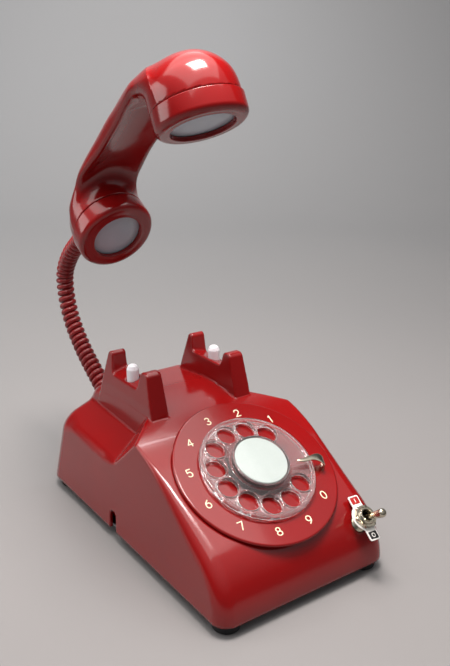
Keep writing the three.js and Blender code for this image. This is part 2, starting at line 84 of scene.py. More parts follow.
def moved(points: Array, place: Array) -> Array:
    """Points carried by a place's matrix."""
    return points @ place[:3, :3].T + place[:3, 3]


# ---------- meshes ----------
@dataclass
class Surface:
    """A closed surface in millimetres: points, faces as arrays of corner numbers, and normals if known."""

    points: Array
    faces: list[Array]
    normals: Array | None = None

    def volume(self) -> float:
        """Six times the volume that the faces enclose, positive when they point out."""
        total = 0.0
        for block in self.faces:
            for k in range(1, block.shape[1] - 1):
                a, b, c = (self.points[block[:, i]] for i in (0, k, k + 1))
                total += float(np.einsum("ij,ij->", a, np.cross(b, c)))
        return total

    def facing_out(self) -> "Surface":
        """The same surface, turned round if its faces point inwards."""
        if self.volume() < 0:
            self.faces = [block[:, ::-1] for block in self.faces]
        return self

    def at(self, place: Array) -> "Surface":
        """The surface carried by a place's matrix."""
        normals = None if self.normals is None else self.normals @ place[:3, :3].T
        return Surface(moved(self.points, place), self.faces, normals)


def joined(*parts: Surface) -> Surface:
    """Several closed surfaces as one mesh's surface, their corner numbers moved on."""
    faces: list[Array] = []
    start = 0
    for part in parts:
        faces += [block + start for block in part.faces]
        start += len(part.points)
    return Surface(np.vstack([part.points for part in parts]), faces)


class Look(NamedTuple):
    """A finish as built: its material, and the record's slot for it where the record has one."""

    material: bpy.types.Material
    slot: str | None


def add_piece(name: str, surface: Surface, look: Look, body: str,
              replaces: Sequence[str] = ()) -> bpy.types.Object:
    """Puts a surface into the scene as one finished piece.

    Args:
        name: the piece's own name.
        surface: its closed surface in the housing's frame, in millimetres.
        look: its finish, whose material the piece is given.
        body: the frame's body that it rides on.
        replaces: the frame's nodes that it stands for.

    Returns:
        The new object.
    """
    surface.facing_out()
    points = (surface.points + (0.0, ORIGIN_Y, 0.0)) * MM
    corners = np.concatenate([block.ravel() for block in surface.faces]).astype(np.int32)
    sizes = np.concatenate([np.full(len(block), block.shape[1]) for block in surface.faces])
    mesh = bpy.data.meshes.new(name)
    mesh.vertices.add(len(points))
    mesh.vertices.foreach_set("co", points.astype(np.float32).ravel())
    mesh.loops.add(len(corners))
    mesh.loops.foreach_set("vertex_index", corners)
    mesh.polygons.add(len(sizes))
    mesh.polygons.foreach_set("loop_start", (np.cumsum(sizes) - sizes).astype(np.int32))
    mesh.polygons.foreach_set("use_smooth", np.ones(len(sizes), bool))
    mesh.update(calc_edges=True)
    if surface.normals is None:
        mesh.set_sharp_from_angle(angle=SMOOTH_ANGLE)
    else:
        mesh.normals_split_custom_set_from_vertices(surface.normals.tolist())
    mesh.materials.append(look.material)
    made = bpy.data.objects.new(name, mesh)
    bpy.context.scene.collection.objects.link(made)
    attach(made, body)
    if replaces:
        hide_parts(*replaces)
    LOG.info("%s: %d faces, material %s", name, len(sizes), look.material.name)
    return made


def rounded(corners: Sequence[tuple[float, float, float]], steps: int = 6) -> Array:
    """An outline whose corners are eased, by arcs that touch both sides.

    Args:
        corners: (r, z, radius) for each corner, the radius 0 where it stays sharp.
        steps: pieces in each arc.

    Returns:
        The outline's points. Each arc runs from tangent point to tangent point, t = R * tan(turn / 2)
        from its corner, as a rational quadratic whose middle weight is cos(turn / 2).
    """
    given = np.array(corners, float)
    made = [given[0, :2]]
    for before, (x, y, radius), after in zip(given[:-2], given[1:-1], given[2:]):
        here = np.array([x, y])
        if radius <= 0:
            made.append(here)
            continue
        a, b = unit(before[:2] - here), unit(after[:2] - here)
        half = math.acos(float(np.clip(-a @ b, -1, 1))) / 2
        reach = radius * math.tan(half)
        t = np.linspace(0, 1, steps + 1)[:, None]
        w = math.cos(half)
        top = (1 - t) ** 2 * (here + a * reach) + 2 * w * t * (1 - t) * here + t**2 * (here + b * reach)
        made.extend(top / ((1 - t) ** 2 + 2 * w * t * (1 - t) + t**2))
    made.append(given[-1, :2])
    return np.array(made)


def grid_faces(rows: int, columns: int, wrap_rows: bool) -> Array:
    """The quads of a grid whose columns close on themselves, and whose rows may too."""
    i = np.arange(rows if wrap_rows else rows - 1)[:, None]
    j = np.arange(columns)[None, :]
    i2, j2 = (i + 1) % rows, (j + 1) % columns
    quads = [i * columns + j, i * columns + j2, i2 * columns + j2, i2 * columns + j]
    return np.stack(np.broadcast_arrays(*quads), -1).reshape(-1, 4)


def capped_faces(rows: int, columns: int) -> list[Array]:
    """A grid's quads, with a fan at its first and last rows from the two points that follow the grid."""
    j = np.arange(columns)
    start, end = np.full(columns, rows * columns), np.full(columns, rows * columns + 1)
    last = (rows - 1) * columns
    return [grid_faces(rows, columns, False), np.stack([start, (j + 1) % columns, j], -1),
            np.stack([end, last + j, last + (j + 1) % columns], -1)]


def unit(vectors: Array) -> Array:
    """Vectors drawn out or in to length 1."""
    return vectors / np.linalg.norm(vectors, axis=-1, keepdims=True)


def turned(profile: Array, sides: int = 64) -> Surface:
    """A profile of (r, z) turned about Z: x = r cos a, y = r sin a for angles a all round.

    A profile that starts and ends on the axis is closed there by fans of triangles, and any other
    profile is a ring, closed from its last point back to its first.
    """
    on_axis = profile[0, 0] < 1e-6 and profile[-1, 0] < 1e-6
    rim = profile[1:-1] if on_axis else profile
    angle = np.linspace(0, 2 * math.pi, sides, endpoint=False)
    ring = np.stack([np.cos(angle), np.sin(angle)], -1)
    points = np.empty((len(rim), sides, 3))
    points[..., :2] = rim[:, None, :1] * ring[None]
    points[..., 2] = rim[:, 1:2]
    points = points.reshape(-1, 3)
    if not on_axis:
        return Surface(points, [grid_faces(len(rim), sides, True)]).facing_out()
    poles = np.array([[0, 0, profile[0, 1]], [0, 0, profile[-1, 1]]])
    return Surface(np.vstack([points, poles]), capped_faces(len(rim), sides)).facing_out()


def swept(path: Array, side: Array, sections: Array) -> Surface:
    """Sections carried along a path, and closed at both ends by fans from the path's own end points.

    Each point is path + u * across + v * up, where across is the side direction made square to the path
    and up is square to both.

    Args:
        path: (n, 3) centreline.
        side: (n, 3) or (3,) rough side directions.
        sections: (n, m, 2) or (m, 2) outlines as (u, v), anticlockwise.

    Returns:
        The closed surface.
    """
    along = unit(np.gradient(path, axis=0))
    side = np.broadcast_to(side, path.shape)
    across = unit(side - np.einsum("ij,ij->i", side, along)[:, None] * along)
    up = np.cross(along, across)
    sections = np.broadcast_to(sections, (len(path), *sections.shape[-2:]))
    points = path[:, None] + sections[..., :1] * across[:, None] + sections[..., 1:] * up[:, None]
    faces = capped_faces(len(path), sections.shape[1])
    return Surface(np.vstack([points.reshape(-1, 3), path[:1], path[-1:]]), faces).facing_out()


def circle(radius: float, count: int) -> Array:
    """A circle's outline as (u, v)."""
    angle = np.linspace(0, 2 * math.pi, count, endpoint=False)
    return np.stack([np.cos(angle), np.sin(angle)], -1) * radius


def smooth_path(knots: Array, count: int) -> Array:
    """A centripetal Catmull-Rom curve through the knots, at even distances along its length.

    Each span blends the cubic through four knots whose parameters grow by the root of their distance.
    """
    knots = np.vstack([2 * knots[0] - knots[1], knots, 2 * knots[-1] - knots[-2]])
    t = np.linspace(0, 1, 41)[:-1, None]
    spans = []
    for p0, p1, p2, p3 in zip(knots[:-3], knots[1:-2], knots[2:-1], knots[3:]):
        d0, d1, d2 = (math.sqrt(np.linalg.norm(b - a)) for a, b in ((p0, p1), (p1, p2), (p2, p3)))
        m1 = d1 * ((p1 - p0) / d0 - (p2 - p0) / (d0 + d1) + (p2 - p1) / d1)
        m2 = d1 * ((p2 - p1) / d1 - (p3 - p1) / (d1 + d2) + (p3 - p2) / d2)
        spans.append((2 * t**3 - 3 * t**2 + 1) * p1 + (t**3 - 2 * t**2 + t) * m1
                     + (3 * t**2 - 2 * t**3) * p2 + (t**3 - t**2) * m2)
    dense = np.vstack([*spans, knots[-2:-1]])
    run = np.concatenate([[0], np.cumsum(np.linalg.norm(np.diff(dense, axis=0), axis=1))])
    even = np.linspace(0, run[-1], count)
    return np.stack([np.interp(even, run, dense[:, k]) for k in range(dense.shape[1])], -1)


# ---------- solid shapes as fields ----------
def round_max(radius: Array | float, *fields: Array) -> Array:
    """What lies inside every field, with its convex edges eased to a radius.

    The value is min(-R, largest) plus the length of the vector of max(R + field, 0).
    """
    reach = sum(np.maximum(f + radius, 0) ** 2 for f in fields)
    return np.minimum(-radius, np.maximum.reduce(np.broadcast_arrays(*fields))) + np.sqrt(reach)


def round_min(radius: Array | float, *fields: Array) -> Array:
    """What lies inside any field, with a fillet of a radius where they meet."""
    return -round_max(radius, *(-f for f in fields))


def ease(value: Array, start: float, end: float) -> Array:
    """0 before start and 1 after end, by the cubic 3t^2 - 2t^3 in between."""
    t = np.clip((value - start) / (end - start), 0, 1)
    return t * t * (3 - 2 * t)


def past_edge(y: Array, z: Array, at: tuple[float, float], lean: float) -> Array:
    """How far points lie behind a slanting plane through (y, z), whose y grows by lean for each 1 mm up."""
    return (y - at[0] - (z - at[1]) * lean) / math.hypot(1, lean)


def slope_of(field: Field, points: Array, step: float = 0.04) -> Array:
    """A field's gradient at points, from central differences."""
    made = np.empty_like(points)
    for axis in range(3):
        ends = []
        for sign in (1, -1):
            there = points.copy()
            there[:, axis] += sign * step
            ends.append(field(*there.T))
        made[:, axis] = (ends[0] - ends[1]) / (2 * step)
    return made


def surface_of(field: Field, low: Sequence[float], high: Sequence[float], pitch: float) -> Surface:
    """The surface where a field is 0, with its edges kept.

    The field is worked out on a cubic grid. Each cell that the surface crosses gets one point, which
    lies as near as it can to the tangent planes at the cell's crossings, and is then slid down the
    field's slope onto the surface. Each crossed grid edge gives one quad between its four cells.

    Args:
        field: negative inside, positive outside, and about a distance near the surface.
        low: lowest corner of the grid.
        high: highest corner of the grid.
        pitch: the grid's spacing.

    Returns:
        The closed surface, with the field's own normals.
    """
    low = np.array(low, float)
    counts = np.ceil((np.array(high) - low) / pitch).astype(int) + 1
    lines = [low[k] + pitch * np.arange(counts[k]) for k in range(3)]
    grid = np.meshgrid(*(line.astype(np.float32) for line in lines), indexing="ij")
    value = field(*grid)
    inside = value < 0
    stride = np.array([counts[1] * counts[2], counts[2], 1])
    crossings, cells, quads = [], [], []
    for axis in range(3):
        here = tuple(slice(None, -1) if k == axis else slice(None) for k in range(3))
        there = tuple(slice(1, None) if k == axis else slice(None) for k in range(3))
        at = np.argwhere(inside[here] != inside[there])
        first, second = value[here][tuple(at.T)], value[there][tuple(at.T)]
        crossing = low + at * pitch
        crossing[:, axis] += pitch * first / (first - second)
        crossings.append(crossing)
        one, two = stride[(axis + 1) % 3], stride[(axis + 2) % 3]
        flat = at @ stride
        around = np.stack([flat, flat - one, flat - one - two, flat - two], -1)
        leaving = inside[here][tuple(at.T)]
        quads.append(np.where(leaving[:, None], around, around[:, ::-1]))
        cells.append(around)
    crossing = np.repeat(np.vstack(crossings), 4, axis=0)
    normal = np.repeat(unit(slope_of(field, np.vstack(crossings))), 4, axis=0)
    keys, cell = np.unique(np.vstack(cells).ravel(), return_inverse=True)

    def per_cell(weights: Array) -> Array:
        """The sum of each column of weights over the crossings of each cell."""
        return np.stack([np.bincount(cell, w, len(keys)) for w in weights.T], -1)

    share = np.bincount(cell, minlength=len(keys))[:, None]
    middle = per_cell(crossing) / share
    offset = np.einsum("ij,ij->i", normal, crossing - middle[cell])[:, None] * normal
    planes = per_cell((normal[:, :, None] * normal[:, None, :]).reshape(-1, 9)).reshape(-1, 3, 3)
    planes += np.eye(3) * (0.04 * share[:, :, None])
    step = np.linalg.solve(planes, per_cell(offset)[..., None])[..., 0]
    points = middle + np.clip(step, -0.6 * pitch, 0.6 * pitch)
    for _ in range(3):
        slope = slope_of(field, points)
        run = field(*points.T)[:, None] * slope / np.maximum((slope**2).sum(1, keepdims=True), 0.05)
        points -= np.clip(run, -0.4 * pitch, 0.4 * pitch)
    normals = slope_of(field, points)
    normals /= np.maximum(np.linalg.norm(normals, axis=1, keepdims=True), 1e-9)
    return Surface(points, [np.searchsorted(keys, np.vstack(quads))], normals)


# ---------- finishes ----------
def linear(colour: str) -> tuple[float, float, float, float]:
    """A hex sRGB colour as linear light: c / 12.92 up to 0.04045, then ((c + 0.055) / 1.055) ^ 2.4."""
    parts = [int(colour[k:k + 2], 16) / 255 for k in (1, 3, 5)]
    light = [c / 12.92 if c <= 0.04045 else ((c + 0.055) / 1.055) ** 2.4 for c in parts]
    return light[0], light[1], light[2], 1.0


def add_node(tree: bpy.types.NodeTree, kind: str, sockets: dict | None = None,
             **settings) -> bpy.types.Node:
    """Adds a node.

    Args:
        tree: the material's node tree.
        kind: the node's type name.
        sockets: for each input, by name or number, a value or the output socket that feeds it.
        settings: the node's own properties.

    Returns:
        The new node.
    """
    made = tree.nodes.new(kind)
    for key, value in settings.items():
        setattr(made, key, value)
    for key, value in (sockets or {}).items():
        if isinstance(value, bpy.types.NodeSocket):
            tree.links.new(value, made.inputs[key])
        else:
            made.inputs[key].default_value = value
    return made


@dataclass(frozen=True)
class Finish:
    """What a surface is made of and how it was made: one shader, a fine relief and a slow variation.

    Scales are real sizes in millimetres: grain is the relief's spacing and drift is that of the slow
    changes of colour and gloss.
    """

    name: str
    colour: str
    shade: str  # the colour that the slow variation moves towards
    roughness: float
    metallic: float = 0.0
    ior: float | None = None
    coat: float = 0.0
    coat_roughness: float = 0.03
    transmission: float = 0.0
    subsurface: float = 0.0
    grain: float = 0.5
    relief: float = 0.01  # depth of the relief in millimetres
    drift: float = 10.0
    uneven: float = 0.04  # how far the roughness wanders
    stretch: tuple[float, float, float] = (1.0, 1.0, 1.0)  # of the grain, larger is finer along that axis
    slot: str | None = None  # the record's material slot for it

    def look(self) -> Look:
        """Builds the finish as a material that reads Object coordinates."""
        made = bpy.data.materials.new(self.name)
        made.use_nodes = True
        tree = made.node_tree
        tree.nodes.clear()
        place = add_node(tree, "ShaderNodeTexCoord").outputs["Object"]
        slow = add_node(tree, "ShaderNodeTexNoise", {"Vector": place, "Scale": 1 / (self.drift * MM),
                                                     "Detail": 3.0, "Roughness": 0.55})
        mixed = add_node(tree, "ShaderNodeMix", {"Factor": slow.outputs["Fac"], "A": linear(self.colour),
                                                 "B": linear(self.shade)}, data_type="RGBA")
        rough = add_node(tree, "ShaderNodeMapRange", {
            "Value": slow.outputs["Fac"], "From Min": 0.3, "From Max": 0.7,
            "To Min": max(self.roughness - self.uneven, 0.0), "To Max": self.roughness + self.uneven})
        drawn = add_node(tree, "ShaderNodeMapping", {"Vector": place, "Scale": self.stretch})
        fine = add_node(tree, "ShaderNodeTexNoise", {"Vector": drawn.outputs["Vector"],
                                                     "Scale": 1 / (self.grain * MM), "Detail": 2.0})
        bump = add_node(tree, "ShaderNodeBump", {"Height": fine.outputs["Fac"], "Strength": 1.0,
                                                 "Distance": self.relief * MM})
        shader = add_node(tree, "ShaderNodeBsdfPrincipled", {
            "Base Color": self.coloured(tree, place, mixed.outputs["Result"]),
            "Roughness": rough.outputs["Result"], "Normal": bump.outputs["Normal"],
            "Metallic": self.metallic, "Coat Weight": self.coat, "Coat Roughness": self.coat_roughness,
            "Transmission Weight": self.transmission, "Subsurface Weight": self.subsurface})
        if self.ior is not None:
            shader.inputs["IOR"].default_value = self.ior
        if self.subsurface:
            shader.inputs["Subsurface Radius"].default_value = (1.0, 1.0, 1.0)
            shader.inputs["Subsurface Scale"].default_value = 2 * MM
        out = add_node(tree, "ShaderNodeOutputMaterial", {"Surface": shader.outputs["BSDF"]})
        out.is_active_output = True
        return Look(made, self.slot)

    def coloured(self, tree: bpy.types.NodeTree, place: bpy.types.NodeSocket,
                 colour: bpy.types.NodeSocket) -> bpy.types.NodeSocket:
        """The colour that reaches the shader. A finish with a pattern of its own works it in here."""
        return colour


@dataclass(frozen=True)
class Speckled(Finish):
    """A finish strewn with fine specks, such as dust or the fibres of card."""

    speck: str = "#FFFFFF"
    spacing: float = 1.2
    amount: float = 0.3

    def coloured(self, tree: bpy.types.NodeTree, place: bpy.types.NodeSocket,
                 colour: bpy.types.NodeSocket) -> bpy.types.NodeSocket:
        """Mixes the specks in where a fine cell pattern is near its cell centres."""
        cells = add_node(tree, "ShaderNodeTexVoronoi", {"Vector": place, "Scale": 1 / (self.spacing * MM)})
        near = add_node(tree, "ShaderNodeMapRange", {"Value": cells.outputs["Distance"], "From Min": 0.08,
                                                     "From Max": 0.2, "To Min": self.amount, "To Max": 0.0})
        mixed = add_node(tree, "ShaderNodeMix", {"Factor": near.outputs["Result"], "A": colour,
                                                 "B": linear(self.speck)}, data_type="RGBA")
        return mixed.outputs["Result"]


class Finishes:
    """Every finish on the object, each made once."""

    def __init__(self) -> None:
        """Builds the materials."""
        # Moulded ABS, polished tool: a deep glaze over cherry red, with a hint of orange peel.
        self.red = Finish("moulded_red_abs", "#8C0C0D", "#7C0A0B", 0.16, ior=1.5, coat=0.2, grain=2.6,
                          relief=0.004, drift=45, uneven=0.035, slot="red_abs").look()
        # Extruded PVC cord, set in its coils by heat: softer and duller than the case.
        self.cord = Finish("coiled_pvc_red", "#8A1A1C", "#72090D", 0.3, ior=1.53, grain=0.8, drift=12,
                           slot="red_abs").look()
        # Cast acrylic, flame polished: clear, with a faint warmth at its edges.
        self.acrylic = Finish("clear_cast_acrylic", "#FFF6F6", "#FBEDEE", 0.03, ior=1.49, transmission=0.92,
                              grain=4.0, relief=0.004, drift=30, uneven=0.01, slot="clear_acrylic").look()
        # Mint-white card under varnish, with paper fibres.
        self.card = Speckled("varnished_card", "#B9C3BF", "#B1BCB8", 0.14, drift=9, speck="#FFFFFF",
                             spacing=0.8, amount=0.25, slot="white_card").look()
        # Silk-screened cream ink, flat and opaque.
        self.ink = Finish("cream_screen_ink", "#F5EBCB", "#EADFBC", 0.45, grain=0.3, drift=6).look()
        # Milky nylon rod: light goes a little way in.
        self.nylon = Finish("milky_nylon", "#ECEAEE", "#E0DEE4", 0.32, ior=1.53, subsurface=0.25, grain=0.7,
                            relief=0.008, drift=8, slot="milky_nylon").look()
        # Bright nickel over brass: a warm mirror with fine turning marks.
        self.nickel = Finish("bright_nickel", "#D6CDB9", "#C6BCA6", 0.2, metallic=1.0, grain=0.35,
                             relief=0.006, drift=6, stretch=(1, 1, 6), slot="nickel_plate").look()
        # Zinc-plated pressed steel: satin and bluish.
        self.zinc = Finish("zinc_plated_steel", "#B9BCC0", "#A5A9AE", 0.38, metallic=1.0, drift=14,
                           slot="zinc_steel").look()
        # Turned brass: warm, with a soft sheen.
        self.brass = Finish("turned_brass", "#C6A15A", "#B08C48", 0.3, metallic=1.0, grain=0.4,
                            relief=0.008).look()
        # Moulded rubber: matte black with a fine tooth.
        self.rubber = Finish("moulded_rubber", "#1A1A1C", "#121214", 0.8, relief=0.03, drift=8,
                             slot="black_rubber").look()
        # Stove enamel on a stamped plate: white, red and black, with a soft gloss.
        self.enamel = Finish("white_stove_enamel", "#F0EFEB", "#E4E2DC", 0.35, grain=0.7,
                             slot="white_enamel").look()
        self.mark_red = Finish("red_enamel_mark", "#B3221E", "#9A1A18", 0.4, drift=5).look()
        self.mark_black = Finish("black_enamel_mark", "#1C1B1C", "#121212", 0.4, drift=5).look()
        # Black phenolic, moulded: dull and slightly uneven.
        self.phenolic = Finish("black_phenolic", "#1E1E20", "#151517", 0.45, grain=0.6, drift=12).look()
        # Acrylic frosted on the inside, over an unlit lamp: a soft blue-grey with dust specks.
        self.frost = Speckled("frosted_acrylic", "#B3BEC6", "#A2AFBC", 0.38, ior=1.49, coat=0.25,
                              coat_roughness=0.18, grain=0.4, relief=0.012, drift=14, speck="#C4CDD2",
                              spacing=1.1, amount=0.35, slot="frosted_acrylic").look()
        # White lead sleeve, extruded PVC: smooth and matte.
        self.sleeve = Finish("white_pvc_sleeve", "#D8D4CC", "#CBC6BC", 0.5, grain=0.6).look()


# ---------- housing ----------
class Side(Enum):
    """The two sides of the object, as the sign of their x."""

    LEFT = -1
    RIGHT = 1


@dataclass
class Housing:
    """The moulded case: skirt, sloping dial face, deck, two ears with two horns each, and two ledges."""

    finishes: Finishes
    bottom: float = 7.0
    half_width: float = 66.8
    side_draft: float = 0.0441
    front_draft: float = 0.0195
    rear: float = 111.5
    rear_lean: float = 1 / 3.3
    wall: float = 2.8
    face_y: float = -65.47
    face_z: float = 65.51
    nose: float = 23.8
    deck_y: float = -3.0
    deck_z: float = 95.6
    deck_slope: float = -0.1126
    ear_inner: float = 27.4
    ear_outer: float = 41.0
    ledge_z: float = 70.0
    ledge_fall: float = 0.5
    ledge_rise: float = 0.04
    heel_y: float = 77.7  # where an ear's rear edge meets the ledge, 66 mm up
    front_horn_top: float = 118.2
    rear_horn_top: float = 119.6
    plunger_hole: float = 4.7
    dial_hole: float = 48.0
    switch_hole: float = 6.2
    notch: float = 4.3
    tube_hole: float = 6.3
    inlet_hole: float = 5.3
    notch_y: float = 8.7
    notch_top: float = 17.2
    inlet_x: float = 34.0
    inlet_z: float = 24.0
    tube_x: float = -22.0
    tube_z: float = 63.6
    pitch: float = 1.4

    def rear_wall(self, y: Array, z: Array) -> Array:
        """The distance past the rear wall, which leans forward as it rises."""
        return past_edge(y, z, (self.rear, self.bottom), -self.rear_lean)

    def face_height(self, y: Array, z: Array) -> Array:
        """The distance above the sloping dial face."""
        return ((z - self.face_z) * math.cos(FACE_TILT) - (y - self.face_y) * math.sin(FACE_TILT))

    def block(self, x: Array, y: Array, z: Array) -> Array:
        """The drafted block under the deck and the face, before the ledges are cut from it.

        The face meets the front in a large round nose. All other edges share one radius, which grows
        from 2 mm at the deck to 11 mm at the nose and 13 mm at the rear wall.
        """
        side = np.abs(x) - self.half_width + self.side_draft * (z - self.bottom)
        front = BODY_FRONT + self.front_draft * (z - self.bottom) - y
        back = self.rear_wall(y, z)
        deck = z - self.deck_z - self.deck_slope * (y - self.deck_y)
        top = round_max(30.0, self.face_height(y, z), deck)
        top = round_max(self.nose, top, front)
        edge = 1.6 + 9.6 * (1 - ease(y, -112, -20)) + 11.0 * ease(back, -34, -14)
        return round_max(edge, top, side, back)

    def ledge_space(self, x: Array, y: Array, z: Array) -> Array:
        """The space over one ledge: outside the ear, above the ledge and behind a steep twisted front.

        The front is ruled between the ledge's front edge and the ridge where it meets the dial face.
        """
        out = np.maximum(np.abs(x) - self.ear_outer, -6)
        low_y, low_z = 16.8 - 0.374 * out, self.ledge_z - self.ledge_fall * out + self.ledge_rise * (y - 17)
        high_y, high_z = -3.0 - out, 94.3 - 0.276 * out
        front = low_y + (z - low_z) * (high_y - low_y) / (high_z - low_z) - y
        ledge = (low_z - z) / math.hypot(1, self.ledge_fall)
        return round_max(1.6, front / 1.5, ledge, self.ear_outer - np.abs(x))

    def ear(self, x: Array, y: Array, z: Array) -> Array:
        """One ear: two horns that stand on a sloping valley floor, drawn in together towards their tops."""
        across = np.abs(x)
        rise = np.clip((z - 95) / 24, 0, 1)
        outer = across - self.ear_outer + 1.5 * rise
        inner = self.ear_inner + 0.8 * rise - across
        floor = z - 103.6 - (self.ear_outer - across) * 0.28
        front = -past_edge(y, z, (-3.0, 94.3), 5.9 / 21.3)
        front_horn_back = past_edge(y, z, (11.5, 118.1), -5.8 / 17.5)
        rear_horn_front = -past_edge(y, z, (50.4, 102), 2.0 / 17.7)
        back = past_edge(y, z, (self.heel_y, 66), -0.379)
        front_horn = round_max(2.6, front, z - self.front_horn_top, front_horn_back)
        rear_horn = round_max(2.6, rear_horn_front, z - self.rear_horn_top, back)
        base = np.maximum.reduce([floor, front + 3, back + 3])
        outline = round_min(2.2, round_min(2.2, front_horn, base), rear_horn)
        return round_max(1.1, outline, outer, inner, 70 - z)

    def outside(self, x: Array, y: Array, z: Array) -> Array:
        """The case's outer form, solid: block less ledge spaces, plus the ears with a small fillet."""
        back = self.rear_wall(y, z)
        rim = 1.4 + 3.0 * ease(y, 4, 24) + 5.0 * ease(back, -26, -10)
        trimmed = round_max(rim, self.block(x, y, z), -self.ledge_space(x, y, z))
        return round_min(0.5, trimmed, self.ear(x, y, z))

    def shell(self, x: Array, y: Array, z: Array) -> Array:
        """The whole case: an open-bottomed shell of even wall with its holes."""
        outside = self.outside(x, y, z)
        body = round_max(0.6, outside, self.bottom - z, -(outside + self.wall))
        height = (z - DIAL_Z) * math.cos(FACE_TILT) - (y - DIAL_Y) * math.sin(FACE_TILT)
        up_face = (y - DIAL_Y) * math.cos(FACE_TILT) + (z - DIAL_Z) * math.sin(FACE_TILT)
        dial = np.maximum(np.hypot(x, up_face) - self.dial_hole, np.abs(height) - 12)
        rods = np.hypot(np.abs(x) - Plungers.x, y - Plungers.y) - self.plunger_hole
        rods = np.maximum(rods, 90 - z)
        notch = np.hypot(y - self.notch_y, np.maximum(z - self.notch_top, 0)) - self.notch
        notch = np.maximum(notch, x + 50)
        upright = math.hypot(1, self.rear_lean)
        depth = np.abs(self.rear_wall(y, z)) - 8
        tube = np.hypot(x - self.tube_x, (z - self.tube_z) * upright) - self.tube_hole
        inlet = np.hypot(x - self.inlet_x, (z - self.inlet_z) * upright) - self.inlet_hole
        rear = np.maximum(np.minimum(tube, inlet), depth)
        tilt = ToggleSwitch.tilt
        up_plate = (y - ToggleSwitch.y) * math.cos(tilt) + (z - ToggleSwitch.z) * math.sin(tilt)
        switch = np.maximum(np.hypot(x - ToggleSwitch.x, up_plate) - self.switch_hole, y + 90)
        cuts = np.minimum.reduce([dial, rods, notch, rear, switch])
        return round_max(0.5, body, -cuts)

    def on_rear_wall(self, x: float, z: float) -> Array:
        """A place on the rear wall, with z out of it."""
        y = self.rear - (z - self.bottom) * self.rear_lean
        return shift(x, y, z) @ turn("x", -math.pi / 2 + math.atan(self.rear_lean))

    def build(self) -> None:
        """Makes the case."""
        surface = surface_of(self.shell, (-69, -125, 5.5), (69, 114, 121.5), self.pitch)
        add_piece("housing_case", surface, self.finishes.red, "base", ["housing"])


def dial_place() -> Array:
    """The dial's own place: x to the right, y up the face and z out along its axis."""
    return shift(0, DIAL_Y, DIAL_Z) @ turn("x", FACE_TILT)


# ---------- dial ----------
def clock(radius: float, degrees: float) -> tuple[float, float]:
    """A place on the dial, from its distance to the axis and its degrees clockwise from the top."""
    angle = math.radians(degrees)
    return radius * math.sin(angle), radius * math.cos(angle)


def arc(x: float, y: float, rx: float, ry: float, start: float, end: float) -> Array:
    """An elliptical arc's points about (x, y), from one angle in degrees to another."""
    angle = np.radians(np.linspace(start, end, 25))
    return np.stack([x + rx * np.cos(angle), y + ry * np.sin(angle)], -1)


def figure_strokes() -> dict[int, list[Array]]:
    """The strokes of the ten figures, drawn in a box that is 2 wide and 3 high about its centre."""
    return {
        1: [np.array([[-0.45, 1.05], [0.1, 1.5], [0.1, -1.5]])],
        2: [np.vstack([arc(0, 0.6, 0.9, 0.9, 165, -35), [[-0.95, -1.5], [0.95, -1.5]]])],
        3: [arc(0, 0.75, 0.8, 0.75, 150, -90), arc(0, -0.75, 0.95, 0.75, 90, -150)],
        4: [np.array([[0.45, -1.5], [0.45, 1.5], [-1.0, -0.65], [1.0, -0.65]])],
        5: [np.vstack([[[0.8, 1.5], [-0.7, 1.5], [-0.8, 0.15]], arc(-0.05, -0.55, 0.95, 0.95, 125, -145)])],
        6: [arc(0, -0.55, 0.95, 0.95, 0, 360), np.array([[-0.93, -0.35], [-0.75, 0.5], [0.35, 1.5]])],
        7: [np.array([[-0.95, 1.5], [0.95, 1.5], [-0.3, -1.5]])],
        8: [arc(0, 0.78, 0.78, 0.72, 0, 360), arc(0, -0.72, 0.97, 0.78, 0, 360)],
        9: [arc(0, 0.55, 0.95, 0.95, 0, 360), np.array([[0.93, 0.35], [0.75, -0.5], [-0.35, -1.5]])],
        0: [arc(0, 0, 0.98, 1.5, 0, 360)],
    }


def to_strokes(x: Array, y: Array, strokes: Sequence[Array]) -> Array:
    """The distance from points to the nearest of some strokes, each a chain of straight pieces."""
    nearest = np.full(np.shape(x), 1e3, np.result_type(x, np.float32))
    for stroke in strokes:
        for (ax, ay), (bx, by) in zip(stroke[:-1], stroke[1:]):
            dx, dy = bx - ax, by - ay
            along = np.clip(((x - ax) * dx + (y - ay) * dy) / max(dx * dx + dy * dy, 1e-9), 0, 1)
            nearest = np.minimum(nearest, np.hypot(x - ax - along * dx, y - ay - along * dy))
    return nearest


